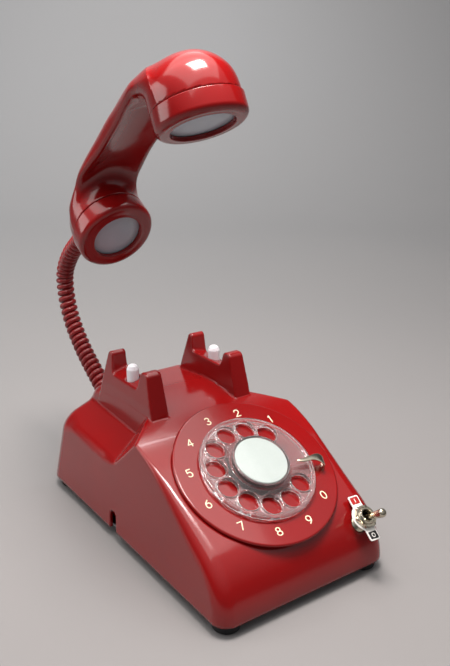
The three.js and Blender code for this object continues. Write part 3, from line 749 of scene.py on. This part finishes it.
@dataclass
class Dial:
    """The number plate with its figures, the clear finger wheel, its centre card and the finger stop."""

    finishes: Finishes
    plate_radius: float = 56.0
    plate_thickness: float = 2.2
    wheel_radius: float = 39.1
    wheel_bottom: float = 1.2
    wheel_top: float = 3.7
    hole_radius: float = 6.7
    hole_circle: float = 29.3
    first_hole: float = 45.4
    hole_step: float = 30.0
    holes: int = 10
    hub_radius: float = 22.5
    figure_circle: float = 46.2
    figure_scale: float = 1.8  # half the width of a figure, a third of its height
    figure_stroke: float = 0.36  # half the stroke's width
    cup_radius: float = 19.2
    card_radius: float = 17.7

    def plate(self) -> Surface:
        """The number plate: a flat disc with a rolled outer edge over a shadow gap."""
        r, t = self.plate_radius, self.plate_thickness
        profile = rounded([(10, -t, 0), (r - 1.6, -t, 0.5), (r, -t + 0.9, 0.6), (r, 0, 1.5), (10, 0, 0)], 8)
        return turned(profile, 160).at(dial_place())

    def figures(self) -> Surface:
        """The ten figures, upright on the plate, each raised by the thickness of the ink."""
        made = []
        for figure, strokes in figure_strokes().items():
            order = 9 if figure == 0 else figure - 1
            x0, y0 = clock(self.figure_circle, self.first_hole - self.hole_step * order)
            drawn = [stroke * self.figure_scale + (x0, y0) for stroke in strokes]

            def ink(x: Array, y: Array, z: Array, drawn: list[Array] = drawn) -> Array:
                """A flat stroke: within half its width of the line, and as thick as the ink."""
                return round_max(0.05, to_strokes(x, y, drawn) - self.figure_stroke, np.abs(z) - 0.12)

            low, high = (x0 - 3, y0 - 4, -0.4), (x0 + 3, y0 + 4, 0.4)
            made.append(surface_of(ink, low, high, 0.16).at(dial_place()))
        surface = joined(*made)
        surface.normals = np.vstack([part.normals for part in made])
        return surface

    def wheel_field(self, x: Array, y: Array, z: Array) -> Array:
        """The clear wheel: a disc with a beaded rim, ten collared holes and a raised hub."""
        out = np.hypot(x, y)
        degrees = np.degrees(np.arctan2(x, y))
        order = np.clip(np.round(np.mod(self.first_hole + 15 - degrees, 360) / self.hole_step - 0.5), 0,
                        self.holes - 1)
        angle = np.radians(self.first_hole - self.hole_step * order)
        to_hole = np.hypot(x - self.hole_circle * np.sin(angle), y - self.hole_circle * np.cos(angle))
        disc = round_max(0.4, out - self.wheel_radius, z - self.wheel_top + 0.5,
                         self.wheel_bottom + 0.4 - z)
        rim = round_max(0.7, np.abs(out - self.wheel_radius + 1.1) - 1.1, np.abs(z - 2.5) - 1.6)
        collar = round_max(0.5, np.abs(to_hole - self.hole_radius - 0.45) - 0.65, np.abs(z - 2.45) - 1.55)
        hub = round_max(0.5, out - self.hub_radius, z - 6.0 + 1.2 * np.maximum(out - 20.6, 0),
                        self.wheel_bottom - z)
        whole = round_min(0.7, disc, rim, collar, hub)
        return round_max(0.45, whole, self.hole_radius - to_hole)

    def stop(self) -> Surface:
        """The finger stop: a blade that rises beside the wheel, bends over it and tapers like a sickle."""
        knots = np.array([[44.4, -14.8, -1.2], [44.6, -14.4, 2.4], [44.0, -13.2, 5.8], [41.9, -11.0, 7.4],
                          [38.0, -9.6, 7.9], [32.6, -9.2, 7.9], [28.0, -8.6, 7.8], [25.2, -7.4, 7.6]])
        path = smooth_path(knots, 60)
        run = np.linspace(0, 1, 60)
        half = np.interp(run, [0, 0.25, 0.42, 0.6, 0.85, 0.97, 1.0], [2.6, 3.4, 3.2, 1.9, 1.35, 0.8, 0.3])
        thick = np.interp(run, [0, 0.95, 1.0], [0.62, 0.6, 0.3])
        outline = circle(1.0, 20)
        outline = np.sign(outline) * np.abs(outline) ** 0.6
        sections = outline[None] * np.stack([thick, half], -1)[:, None]
        side = np.cross(np.gradient(path, axis=0), np.array([0.35, 1.0, 0.0]))
        return swept(path, side, sections).at(dial_place())

    def build(self) -> None:
        """Makes the dial's visible pieces and hides the frame's own nodes that they stand for."""
        red = self.finishes.red
        add_piece("number_disc", self.plate(), red, "base", ["number_plate"])
        add_piece("dial_figures", self.figures(), self.finishes.ink, "base")
        wheel = surface_of(self.wheel_field, (-40, -40, 0), (40, 40, 7), 0.5).at(dial_place())
        add_piece("clear_finger_wheel", wheel, self.finishes.acrylic, "dial_wheel", ["finger_wheel"])
        place, r = dial_place(), self.cup_radius
        cup = rounded([(0, 6.3, 0), (r, 6.3, 0.5), (r, 10.3, 0.3), (r - 0.7, 10.3, 0.3), (r - 1.2, 8.5, 0),
                       (0, 8.5, 0)], 5)
        add_piece("card_cup", turned(cup, 128).at(place), self.finishes.acrylic, "dial_wheel",
                  ["card_retainer"])
        r = self.card_radius
        card = rounded([(0, 8.7, 0), (r, 8.7, 0.1), (r, 9.9, 0.5), (0, 10.15, 0)], 5)
        add_piece("number_card", turned(card, 128).at(place), self.finishes.card, "dial_wheel",
                  ["center_card"])
        add_piece("finger_hook", self.stop(), self.finishes.nickel, "base", ["finger_stop"])


# ---------- cradle plungers ----------
@dataclass
class Plungers:
    """The two nylon plungers that a handset would press down, one in each ear."""

    finishes: Finishes
    x: float = 34.2
    y: float = 32.0
    radius: float = 4.3
    bottom: float = 75.7
    top: float = 115.8

    def build(self) -> None:
        """Makes both plungers: a rod with a pointed foot and a softly domed head."""
        r, b, t = self.radius, self.bottom, self.top
        profile = rounded([(0, b, 0), (1.8, b + 0.5, 0.4), (2.6, b + 2.4, 1), (r, b + 4, 1),
                           (r, t - 3.4, 0.8), (r - 1.1, t - 1.0, 1.2), (r - 2.4, t - 0.1, 1.0),
                           (0, t, 0)], 8)
        for side, name in ((Side.LEFT, "left"), (Side.RIGHT, "right")):
            rod = turned(profile, 40).at(shift(side.value * self.x, self.y, 0))
            body = f"plunger_{name}"
            add_piece(f"plunger_rod_{name}", rod, self.finishes.nylon, body, [body])


# ---------- toggle switch ----------
@dataclass
class ToggleSwitch:
    """The switch on the case's front corner: marked plate, hexagon nut, bushing and bat lever."""

    finishes: Finishes
    x: float = 49.5
    y: float = -115.4
    z: float = 38.6
    tilt: float = math.radians(37)
    roll: float = math.radians(5)
    lean: float = math.radians(16)
    lever: float = 20.5
    tab_half_width: float = 4.2
    tab_half_length: float = 15.7
    disc_radius: float = 8.8
    plate_hole: float = 6.3
    mark_at: float = 12.3  # up and down the plate, the middle of each block
    nut_half_width: float = 7.15  # across its flats

    def place(self) -> Array:
        """The switch's own place: y up the plate and z out along the bushing."""
        return shift(self.x, self.y, self.z) @ turn("y", self.roll) @ turn("x", self.tilt)

    def plate_field(self, x: Array, y: Array, z: Array) -> Array:
        """The plate: a disc and a longer tab through it, pierced for the bushing."""
        out = np.hypot(x, y)
        tab = round_max(1.3, np.abs(x) - self.tab_half_width, np.abs(y) - self.tab_half_length)
        flat = round_min(0.8, tab, out - self.disc_radius)
        return round_max(0.15, flat, 0.3 - z, z - 1.1, self.plate_hole - out)

    def marks(self) -> dict[str, tuple[Field, Look]]:
        """The plate's blank marks: a red block with a bar above, a black block with a ring below."""
        def block(at: float) -> Callable[[Array, Array], Array]:
            """A block with eased corners, centred at a height on the tab."""
            return lambda x, y: round_max(0.7, np.abs(x) - 3.3, np.abs(y - at) - 2.5)

        def bar(x: Array, y: Array) -> Array:
            """An upright bar on the upper block."""
            return round_max(0.2, np.abs(x) - 0.35, np.abs(y - self.mark_at) - 1.4)

        def hoop(x: Array, y: Array) -> Array:
            """A ring on the lower block."""
            return np.abs(np.hypot(x, y + self.mark_at) - 1.25) - 0.32

        def inked(shape: Callable[[Array, Array], Array], top: float) -> Field:
            """A flat shape as a layer of enamel up to a height."""
            return lambda x, y, z: round_max(0.03, shape(x, y), np.abs(z - 1.0) - (top - 1.0))

        white, red, black = self.finishes.enamel, self.finishes.mark_red, self.finishes.mark_black
        return {"switch_mark_on": (inked(block(self.mark_at), 1.16), red),
                "switch_mark_off": (inked(block(-self.mark_at), 1.16), black),
                "switch_sign_on": (inked(bar, 1.24), white), "switch_sign_off": (inked(hoop, 1.24), white)}

    def nut(self) -> Surface:
        """The hexagon nut: a round profile whose radius is drawn in to the six flats.

        The flats lie at r / cos(a') for a' the angle from the nearest flat's middle, and both faces keep
        a turned chamfer.
        """
        sides = 96
        angle = np.linspace(0, 2 * math.pi, sides, endpoint=False)
        nearest = np.abs(np.mod(angle, math.pi / 3) - math.pi / 6)
        hexagon = self.nut_half_width / np.cos(nearest)
        levels = [(6.0, 1.4), (7.3, 1.4), (None, 1.9), (None, 3.4), (7.3, 3.9), (6.0, 3.9)]
        rings = [np.full(sides, r) if r else hexagon for r, _ in levels]
        radius = np.array(rings)[..., None]
        ring = np.stack([np.cos(angle), np.sin(angle)], -1)
        points = np.concatenate([radius * ring[None], np.broadcast_to(
            np.array([z for _, z in levels])[:, None, None], (len(levels), sides, 1))], -1)
        return Surface(points.reshape(-1, 3), [grid_faces(len(levels), sides, True)]).facing_out()

    def bushing(self) -> Surface:
        """The threaded bushing: a turned sleeve whose threads are rings 0.8 mm apart."""
        crests = [(5.75 - 0.35 * (k % 2), z, 0.0) for k, z in enumerate(np.arange(-9.2, 4.9, 0.4))]
        profile = rounded([(3.7, -9.6, 0), (5.2, -9.6, 0), *crests, (5.2, 5.5, 0.2), (3.9, 5.5, 0.3),
                           (3.7, 4.8, 0)], 3)
        return turned(profile, 48)

    def bat(self) -> Surface:
        """The bat lever: slim at its root, swelling to a round tip, with a ball in the bushing's mouth."""
        top = self.lever
        profile = rounded([(0, 0, 0), (1.5, 0.3, 0.6), (1.7, 3.0, 2), (1.75, 8.0, 6), (2.9, top - 2.6, 4),
                           (2.75, top, 1.9), (0, top + 0.05, 0)], 8)
        return turned(profile, 40).at(turn("x", self.lean))

    def build(self) -> None:
        """Makes the switch."""
        place = self.place()
        plate = surface_of(self.plate_field, (-9.5, -16.5, -0.2), (9.5, 16.5, 1.6), 0.3).at(place)
        add_piece("switch_plate", plate, self.finishes.enamel, "base", ["indicator_plate"])
        for name, (mark, finish) in self.marks().items():
            layer = surface_of(mark, (-4, -15.2, 0.6), (4, 15.2, 1.4), 0.15).at(place)
            add_piece(name, layer, finish, "base")
        nickel = self.finishes.nickel
        add_piece("hexagon_nut", self.nut().at(place), nickel, "base", ["switch_nut"])
        add_piece("threaded_bushing", self.bushing().at(place), nickel, "base", ["switch_bushing"])
        add_piece("bat_lever", self.bat().at(place), nickel, "switch_lever", ["switch_lever"])


# ---------- handset ----------
class End(Enum):
    """The handset's two ends."""

    TRANSMITTER = "transmitter"
    RECEIVER = "receiver"


@dataclass
class Handset:
    """The handle with its two bowls, and at each end a screwed cap with a frosted lens and a lamp."""

    finishes: Finishes
    x: float = -22.0
    y: float = 81.66
    z: float = 203.87
    pitch_angle: float = math.radians(38.6)
    length: float = 144.8
    drop: float = -1.6
    cap_radius: float = 28.1
    cap_height: float = 14.0
    transmitter_tilt: float = math.radians(21.2)
    receiver_tilt: float = math.radians(11.6)
    transmitter_opening: float = 17.4
    receiver_opening: float = 19.4
    grip_half_width: float = 20.5
    inner_face: float = 24.3
    back_height: float = 40.8
    back_middle: float = 74.0  # along the handle, where its back is highest
    back_radius: float = 240.0  # of the back's arc along the handle
    crown_radius: float = 95.0  # of the back's arc across it
    wall: float = 3.7
    bore_height: float = 14.7
    pitch: float = 1.0

    def place(self) -> Array:
        """The handset's own place: y runs from receiver to transmitter and z to the back of the grip."""
        return shift(self.x, self.y, self.z) @ turn("x", -self.pitch_angle)

    def end_place(self, end: End) -> Array:
        """The place of one cap: the seam's centre at 0 and z out of the opening."""
        if end is End.TRANSMITTER:
            return self.place() @ turn("x", math.pi - self.transmitter_tilt)
        return self.place() @ shift(0, -self.length, self.drop) @ turn("x", math.pi + self.receiver_tilt)

    def drum(self, x: Array, along: Array, out: Array, tilt: float) -> tuple[Array, Array]:
        """One bowl's endless drum about its tilted axis, and the height above its seam."""
        height = -along * math.sin(tilt) + out * math.cos(tilt)
        return np.hypot(x, along * math.cos(tilt) + out * math.sin(tilt)) - self.cap_radius, height

    def field(self, x: Array, y: Array, z: Array) -> Array:
        """The handle: grip and bowls under one back, which is an arc along the handle crowned across it.

        Below the back, the grip is a bar that widens towards the bowls, with a channel along its inner
        face, and it meets the two drums in fillets. The edge between sides and back is eased most over
        the bowls. Each bowl is cut off at its seam and hollow, and a bore joins the lower one to the tube.
        """
        along = -y
        bow, crown = (along - self.back_middle) / self.back_radius, x / self.crown_radius
        back = z - self.back_height + bow**2 * self.back_radius / 2 + crown**2 * self.crown_radius / 2
        back = back / np.sqrt(1 + bow**2 + crown**2)
        from_end = np.minimum(along, self.length - along)
        half = self.grip_half_width + 5.0 * (1 - ease(from_end, 10, 62))
        lower, lower_height = self.drum(x, along, z, self.transmitter_tilt)
        upper, upper_height = self.drum(x, along - self.length, z - self.drop, -self.receiver_tilt)
        bar = np.maximum.reduce([np.abs(x) - half, -along, along - self.length])
        sides = round_min(6.0, round_min(6.0, bar, lower), upper)
        channel = 5.0 * np.clip(1 - (x / (half - 1)) ** 2, 0, 1)
        channel = channel * ease(self.length - along, 27, 47) * ease(along, 14, 40)
        under = round_min(14.0, round_min(14.0, self.inner_face + channel - z, lower), upper)
        ease_back = 24.0 - 15.5 * ease(from_end, -14, 28)
        whole = round_max(4.0, round_max(ease_back, sides, back), under)
        near_lower = along < 60
        height = np.where(near_lower, lower_height, upper_height)
        inner_ease = np.maximum(ease_back - self.wall, 2.0)
        hollow = round_max(inner_ease, np.where(near_lower, lower, upper) + self.wall, back + self.wall)
        whole = round_max(0.5, whole, 0.3 - height)
        whole = round_max(0.4, whole, -np.maximum(hollow, -height - 4))
        bore = np.maximum(np.hypot(x, z - self.bore_height) - 2.7, np.abs(y - 20) - 30)
        return np.maximum(whole, -bore)

    def cap(self, opening: float) -> Surface:
        """A cap: a turned ring with a straight side, a rounded shoulder and a lip round its opening."""
        r, h = self.cap_radius, self.cap_height
        profile = rounded([(r - 2.6, 0.3, 0), (r, 0.3, 0.5), (r, h, 4.2), (opening + 3.2, h - 0.2, 0.8),
                           (opening + 0.4, h + 0.1, 0.7), (opening, h - 3.0, 0.4),
                           (r - 2.6, h - 3.0, 1.0)], 8)
        return turned(profile, 128)

    def lens(self, opening: float) -> Surface:
        """A lens: a thin disc that domes a little in the opening."""
        h = self.cap_height
        profile = rounded([(0, h - 5, 0), (opening + 2.6, h - 5, 0.3), (opening + 2.6, h - 3.3, 0.2),
                           (opening - 0.6, h - 3.3, 0.8), (opening * 0.6, h - 2.3, 8), (0, h - 1.8, 0)], 6)
        return turned(profile, 96)

    def lamp(self) -> Surface:
        """A lamp board: a stepped disc behind the lens."""
        return turned(rounded([(0, 1, 0), (19, 1, 0.3), (19, 5, 0.6), (12, 6.6, 0.6), (0, 6.6, 0)], 4), 64)

    def build(self) -> None:
        """Makes the handle, both caps and what they hold."""
        handle = surface_of(self.field, (-30, -178, -14), (30, 38, 48), self.pitch).at(self.place())
        add_piece("handle", handle, self.finishes.red, "base", ["handset_handle"])
        openings = {End.TRANSMITTER: self.transmitter_opening, End.RECEIVER: self.receiver_opening}
        for end, opening in openings.items():
            for piece, surface, look, node in (("ring", self.cap(opening), self.finishes.red, "cap"),
                                               ("window", self.lens(opening), self.finishes.frost, "lens"),
                                               ("light", self.lamp(), self.finishes.zinc, "lamp")):
                add_piece(f"{end.value}_{piece}", surface.at(self.end_place(end)), look, "base",
                          [f"{end.value}_{node}"])


# ---------- support tube and curly cord ----------
@dataclass
class Support:
    """The bent steel tube that holds the handset up, and the curly cord wound round it."""

    finishes: Finishes
    x: float = -22.0
    route: tuple[tuple[float, float], ...] = (
        (96.3, 211), (131, 183.4), (151, 167.5), (163, 150), (162.5, 131), (154.3, 112.3),
        (136, 93), (112, 76), (84, 56.5), (67, 41), (61, 24), (61, 13.4))
    tube_radius: float = 2.4
    wire_radius: float = 2.35
    coil_radius: float = 4.72
    coil_pitch: float = 5.2
    starts: float = 27.0  # along the tube, where the first turn leaves the handset
    ends: float = 0.756  # fraction of the tube's length at the rear wall
    samples: int = 2000

    def centreline(self, count: int) -> tuple[Array, float]:
        """The tube's centreline at even distances, and its length."""
        flat = smooth_path(np.array(self.route, float), count)
        path = np.column_stack([np.full(count, self.x), flat])
        return path, float(np.linalg.norm(np.diff(path, axis=0), axis=1).sum())

    def coil(self) -> tuple[Surface, float]:
        """The cord: a wire whose centre circles the tube, once for each pitch along it.

        Returns:
            Its surface and the wire's own length in millimetres.
        """
        path, length = self.centreline(self.samples)
        first, last = self.starts, self.ends * length
        turns = (last - first) / self.coil_pitch
        count = int(turns * 22)
        run = np.linspace(first, last, count)
        even = np.linspace(0, length, self.samples)
        at = np.stack([np.interp(run, even, path[:, k]) for k in range(3)], -1)
        across = np.array([1.0, 0.0, 0.0])
        up = np.cross(unit(np.gradient(at, axis=0)), across)
        angle = 2 * math.pi * (run - first) / self.coil_pitch
        spoke = np.cos(angle)[:, None] * across + np.sin(angle)[:, None] * up
        wire = at + self.coil_radius * spoke
        wire_length = float(np.linalg.norm(np.diff(wire, axis=0), axis=1).sum())
        return swept(wire, spoke, circle(self.wire_radius, 12)), wire_length

    def build(self) -> None:
        """Makes the tube, the cord and the fittings at both ends."""
        path, _ = self.centreline(160)
        tube = swept(path, np.array([1.0, 0, 0]), circle(self.tube_radius, 20))
        add_piece("bent_tube", tube, self.finishes.zinc, "base", ["support_tube"])
        coil, length = self.coil()
        add_piece("coiled_cord", coil, self.finishes.cord, "base", ["curly_cord"])
        LOG.info("coiled cord: %.0f mm of wire", length)


# ---------- feet, rear fittings and the works inside ----------
@dataclass
class Fittings:
    """The rubber feet, the rear wall's fittings, and finishes for the frame's own nodes inside."""

    finishes: Finishes
    foot_radius: float = 9.5
    foot_height: float = 7.0
    foot_x: float = 55.0
    front_y: float = -111.0
    rear_y: float = 97.0

    def foot(self) -> Surface:
        """A foot: a drum that narrows a little to an eased tread with a shallow recess."""
        r, h = self.foot_radius, self.foot_height
        profile = rounded([(0, 0.9, 0), (4.6, 0.9, 0.5), (5.2, 0, 0.5), (r - 1.0, 0, 1.3), (r, h, 0.3),
                           (0, h, 0)], 5)
        return turned(profile, 56)

    def build(self) -> None:
        """Makes the fittings and dresses the rest."""
        for end, y in (("front", self.front_y), ("rear", self.rear_y)):
            for side, name in ((Side.LEFT, "left"), (Side.RIGHT, "right")):
                foot = self.foot().at(shift(side.value * self.foot_x, y, 0))
                node = f"foot_{end}_{name}"
                add_piece(f"rubber_{node}", foot, self.finishes.rubber, "base", [node])
        case = Housing(self.finishes)
        grommet = turned(rounded([(3.7, -4, 0), (6, -4, 0.3), (6, 0.1, 0), (7.6, 0.1, 0.4), (7.6, 1.4, 0.8),
                                  (3.7, 2.2, 0.8)], 5), 56)
        add_piece("rubber_grommet", grommet.at(case.on_rear_wall(case.tube_x, case.tube_z)),
                  self.finishes.rubber, "base", ["tube_grommet"])
        inlet = turned(rounded([(3.2, -8, 0), (5, -8, 0.4), (5, 0.3, 0), (7.6, 0.3, 0.3), (7.6, 1.6, 0.8),
                                (5.4, 3.0, 0.8), (3.2, 3.0, 0.4)], 5), 56)
        add_piece("inlet_bush", inlet.at(case.on_rear_wall(case.inlet_x, case.inlet_z)),
                  self.finishes.rubber, "base", ["mains_inlet"])
        made = self.finishes
        dressed = {made.zinc: ["base_plate", "housing_screw_front", "housing_screw_rear", "dial_frame",
                               "dial_shaft", "return_spring", "hook_lever", "hook_pin", "hook_bracket",
                               "hook_spring", "tube_nut", "tube_flange"],
                   made.brass: ["main_gear", "pulse_cam", "governor", "pulse_contacts", "hook_contacts"],
                   made.phenolic: ["switch_body", "lamp_driver"], made.enamel: ["terminal_block"],
                   made.sleeve: ["receiver_lead"], made.red: ["cord_collar"]}
        for look, nodes in dressed.items():
            for node in nodes:
                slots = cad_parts[node].data.materials
                slots.clear()
                slots.append(look.material)


# ---------- studio ----------
@dataclass
class Studio:
    """The camera, the lamps, and a seamless grey sweep that is floor and backdrop in one."""

    focal: float = 44.745
    sensor: float = 36.0
    eye: tuple[float, float, float] = (-291.91, -441.69, 325.03)
    right: tuple[float, float, float] = (0.81661, -0.57716, 0.00571)
    up: tuple[float, float, float] = (0.18486, 0.27090, 0.94469)

    def camera(self) -> None:
        """Sets the camera from its eye point and its right and up directions."""
        data = bpy.data.cameras.new("camera")
        data.lens, data.sensor_width = self.focal, self.sensor
        data.clip_start, data.clip_end = 0.01, 30
        made = bpy.data.objects.new("camera", data)
        bpy.context.scene.collection.objects.link(made)
        right, up = Vector(self.right).normalized(), Vector(self.up).normalized()
        back = right.cross(up)
        turned_to = made.matrix_world.copy()
        for k, column in enumerate((right, up, back)):
            turned_to.col[k][:3] = column
        turned_to.translation = Vector((self.eye[0], self.eye[1] + ORIGIN_Y, self.eye[2])) * MM
        made.matrix_world = turned_to
        bpy.context.scene.camera = made

    def lamp(self, name: str, at: tuple[float, float, float], aim: tuple[float, float, float], size: float,
             power: float, colour: str) -> None:
        """Adds a square area light that looks from one point at another, in metres and watts."""
        data = bpy.data.lights.new(name, "AREA")
        data.shape, data.size, data.energy = "SQUARE", size, power
        data.color = linear(colour)[:3]
        made = bpy.data.objects.new(name, data)
        bpy.context.scene.collection.objects.link(made)
        made.location = at
        made.visible_camera = False
        made.rotation_mode = "QUATERNION"
        made.rotation_quaternion = (Vector(aim) - Vector(at)).to_track_quat("-Z", "Y")

    def sweep(self) -> None:
        """The paper sweep: flat under the object, then a quarter round of 0.7 m up to a wall behind it."""
        radius, flat, half_width = 0.7, 1.0, 5.0
        angle = np.linspace(0, math.pi / 2, 33)
        depth = np.concatenate([[-4.0], flat + radius * np.sin(angle), [flat + radius]])
        height = np.concatenate([[0.0], radius * (1 - np.cos(angle)), [4.0]])
        view = np.array([0.5788, 0.8155])  # the level direction that the camera looks in
        across = np.array([view[1], -view[0]]) * half_width
        edges = [np.column_stack([depth[:, None] * view + sign * across, height]) for sign in (-1, 1)]
        points = np.stack(edges, 1).reshape(-1, 3)
        i = 2 * np.arange(len(depth) - 1)[:, None]
        mesh = bpy.data.meshes.new("paper_sweep")
        mesh.from_pydata(points.tolist(), [], (i + np.array([[0, 1, 3, 2]])).tolist())
        mesh.polygons.foreach_set("use_smooth", np.ones(len(mesh.polygons), bool))
        mesh.update()
        paper = Finish("grey_sweep_paper", "#7F7E7E", "#858382", 0.7, grain=3.0, relief=0.02, drift=600)
        mesh.materials.append(paper.look().material)
        made = bpy.data.objects.new("paper_sweep", mesh)
        bpy.context.scene.collection.objects.link(made)

    def air(self) -> None:
        """The room: dim near the floor and bright towards the ceiling, by the height of the direction."""
        world = bpy.data.worlds.new("studio_air")
        world.use_nodes = True
        tree = world.node_tree
        toward = add_node(tree, "ShaderNodeTexCoord").outputs["Generated"]
        height = add_node(tree, "ShaderNodeSeparateXYZ", {"Vector": toward}).outputs["Z"]
        bright = add_node(tree, "ShaderNodeMapRange", {"Value": height, "From Min": 0.25, "From Max": 0.85,
                                                       "To Min": 0.1, "To Max": 0.8})
        background = tree.nodes["Background"]
        background.inputs["Color"].default_value = linear("#F4F4F6")
        tree.links.new(bright.outputs["Result"], background.inputs["Strength"])
        bpy.context.scene.world = world

    def build(self) -> None:
        """Makes the camera, the sweep, the air and the lights."""
        self.camera()
        self.sweep()
        self.air()
        bpy.context.scene.view_settings.view_transform = "Standard"
        self.lamp("overhead_softbox", (-0.1, 0.06, 0.95), (-0.1, 0.06, 0), 1.2, 8.8, "#FFFAF6")
        self.lamp("softbox_bulb", (-0.02, -0.08, 0.68), (-0.02, -0.03, 0.3), 0.2, 5.2, "#FFF4F0")
        self.lamp("left_softbox", (-1.1, 0.75, 0.45), (-0.05, 0.05, 0.1), 0.7, 4.5, "#FFFDFB")
        self.lamp("backdrop_lamp", (0.45, 0.9, 1.7), (0.5, 1.9, 1.0), 0.8, 38, "#FBFDFF")


def main() -> None:
    """Builds the assemblies in order."""
    logging.basicConfig(level=logging.INFO, format="%(message)s")
    Studio().build()
    finishes = Finishes()
    for assembly in (Housing(finishes), Dial(finishes), Plungers(finishes), ToggleSwitch(finishes),
                     Handset(finishes), Support(finishes), Fittings(finishes)):
        assembly.build()
        LOG.info("%s is in place", type(assembly).__name__)


if __name__ == "__main__":
    main()
